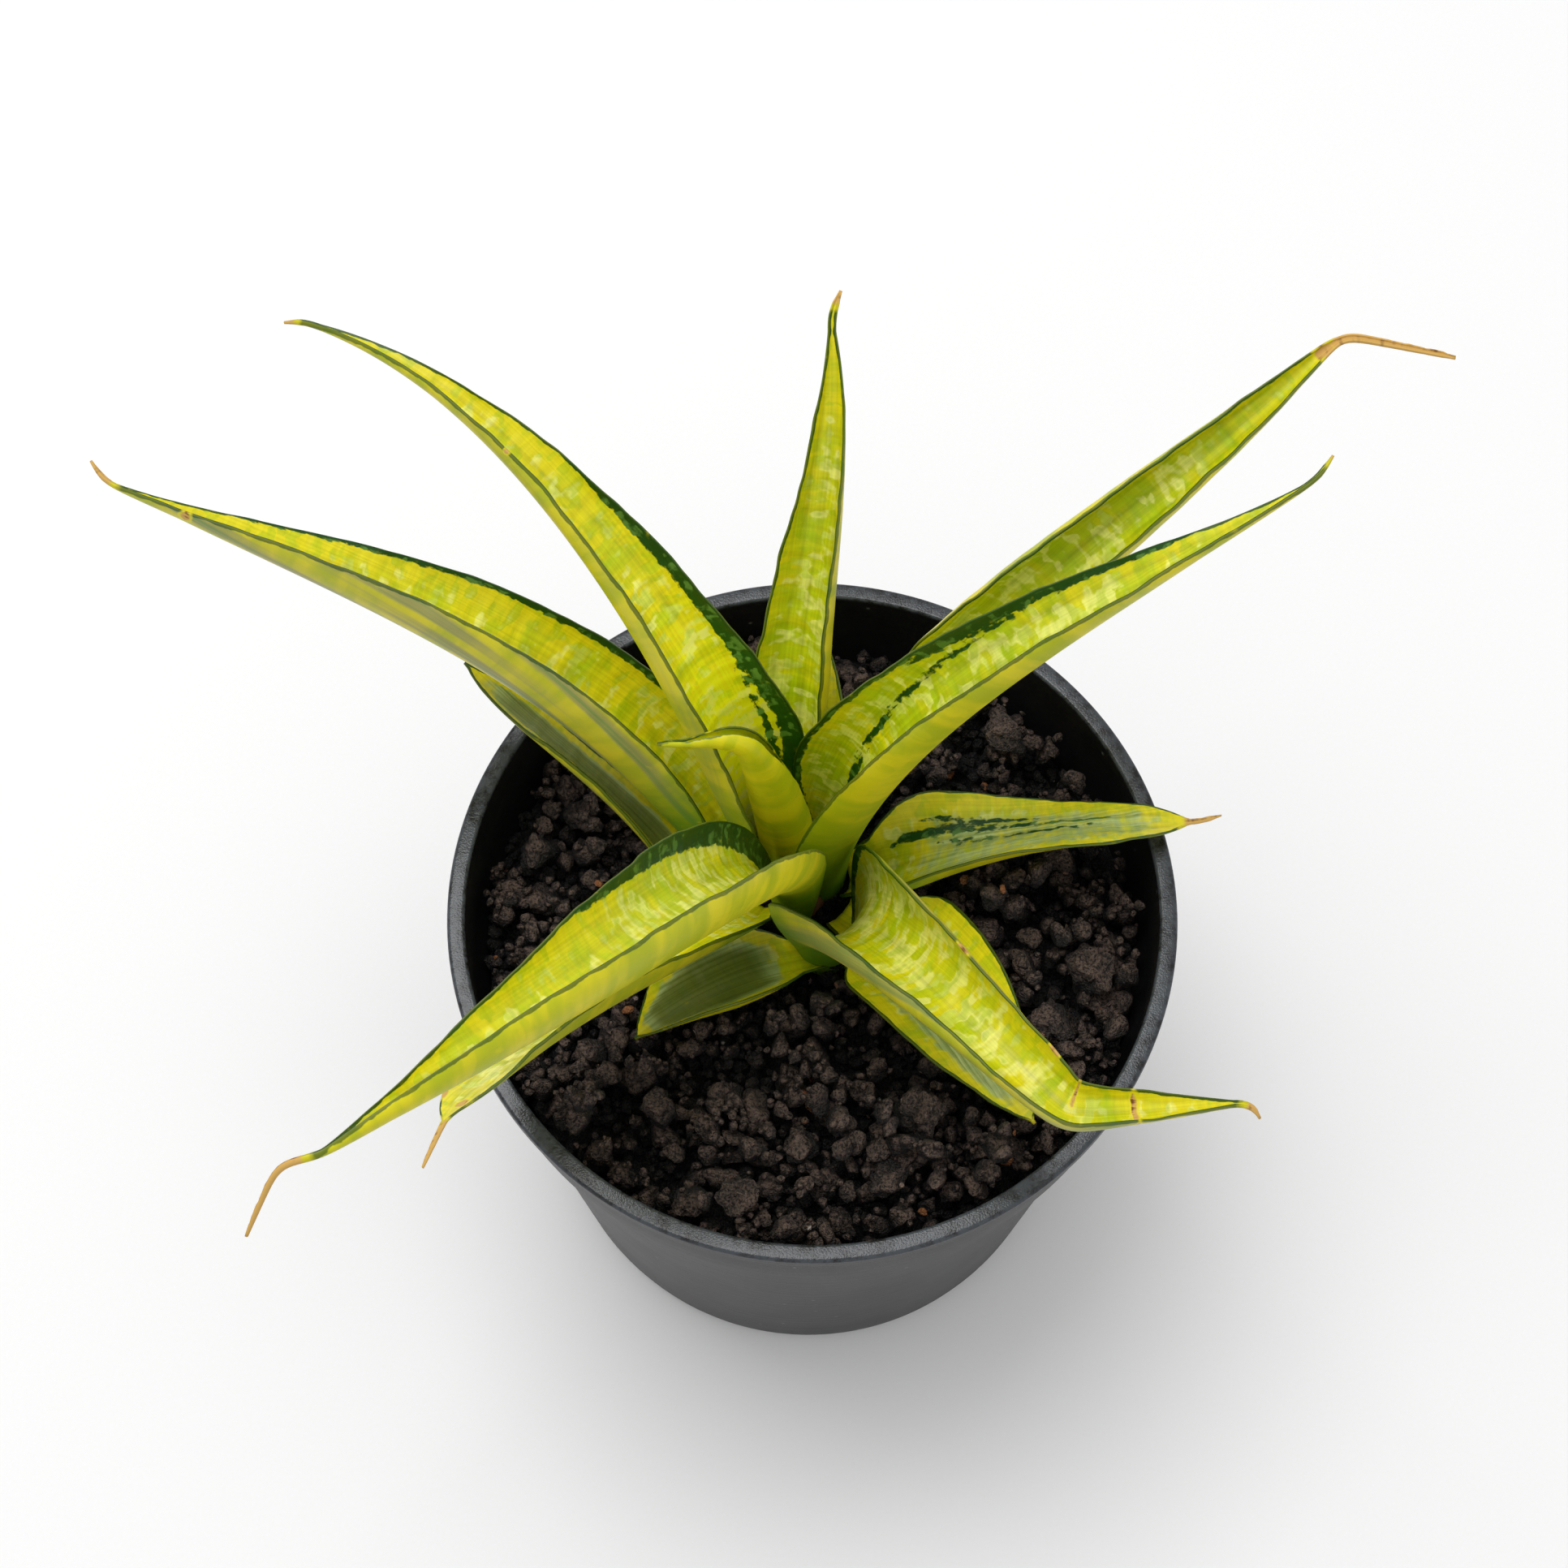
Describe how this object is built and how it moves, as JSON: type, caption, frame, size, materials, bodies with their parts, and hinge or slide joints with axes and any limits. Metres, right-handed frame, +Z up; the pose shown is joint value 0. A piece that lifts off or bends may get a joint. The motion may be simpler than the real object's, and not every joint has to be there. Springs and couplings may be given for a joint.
{
  "type": "potted snake plant",
  "caption": "Snake plant with channelled, pointed, arching leaves in a low rosette, growing in volcanic grit in a round, tapered plastic nursery pot.",
  "frame": {"origin": "centre of the pot's underside, on the surface that it rests on", "axes": "+Z up along the pot's axis; -Y is the side that the plant is seen from, +X is to the right of it"},
  "size_m": [0.2547, 0.1916, 0.2345],
  "materials": {
    "black_plastic": "satin, injection moulded",
    "volcanic_grit": "rough, porous",
    "grit_lump": "rough, porous",
    "root_skin": "fibrous, matt",
    "leaf_skin": "waxy, satin"
  },
  "bodies": {
    "root": {"nursery_pot": "black_plastic", "soil": "volcanic_grit", "rootstock": "root_skin", "grit_lump_01": "grit_lump", "grit_lump_02": "grit_lump", "grit_lump_03": "grit_lump", "grit_lump_04": "grit_lump", "grit_lump_05": "grit_lump", "grit_lump_06": "grit_lump", "grit_lump_07": "grit_lump", "grit_lump_08": "grit_lump", "grit_lump_09": "grit_lump", "grit_lump_10": "grit_lump", "grit_lump_11": "grit_lump", "grit_lump_12": "grit_lump", "leaf_01_spear": "leaf_skin", "leaf_02_back_left": "leaf_skin", "leaf_03_right": "leaf_skin", "leaf_04_front_left": "leaf_skin", "leaf_05_front_right": "leaf_skin", "leaf_06_far_left": "leaf_skin", "leaf_07_back": "leaf_skin", "leaf_08_back_right": "leaf_skin", "leaf_09_right_low": "leaf_skin", "leaf_10_left_low": "leaf_skin", "leaf_11_front_left_low": "leaf_skin", "leaf_12_front_right_low": "leaf_skin", "leaf_13_front_low": "leaf_skin", "leaf_14_back_low": "leaf_skin"}
  },
  "joints": []
}
